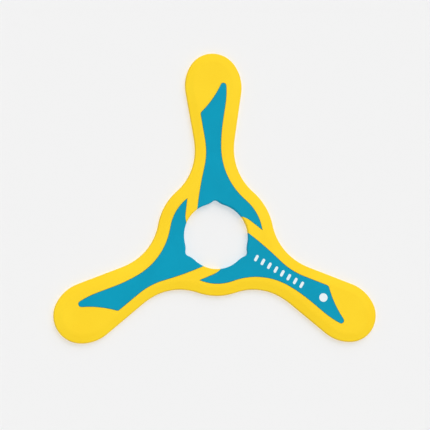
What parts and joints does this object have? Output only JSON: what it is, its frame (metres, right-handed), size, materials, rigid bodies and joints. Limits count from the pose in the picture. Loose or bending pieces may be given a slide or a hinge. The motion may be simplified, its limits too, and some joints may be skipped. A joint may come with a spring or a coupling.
{
  "type": "boomerang",
  "caption": "Flat soft-skinned boomerang with round-ended blades set evenly about a ring hub, and coloured inlays flush with the skin.",
  "frame": {"origin": "on the hub hole's axis, at the flat underside", "axes": "+Z along the hub hole's axis, out of the printed face; +Y along one blade; +X to the right seen from the printed face"},
  "size_m": [0.2752, 0.2445, 0.0041],
  "materials": {
    "stiff_core": "moulded polypropylene, fine satin texture, teal",
    "soft_skin": "moulded soft thermoplastic elastomer, matt, yellow",
    "ink": "pad-printed white ink, slightly worn"
  },
  "bodies": {
    "root": {"core_frame": "stiff_core", "soft_skin": "soft_skin", "print_bars": "ink", "print_disc": "ink"}
  },
  "joints": []
}
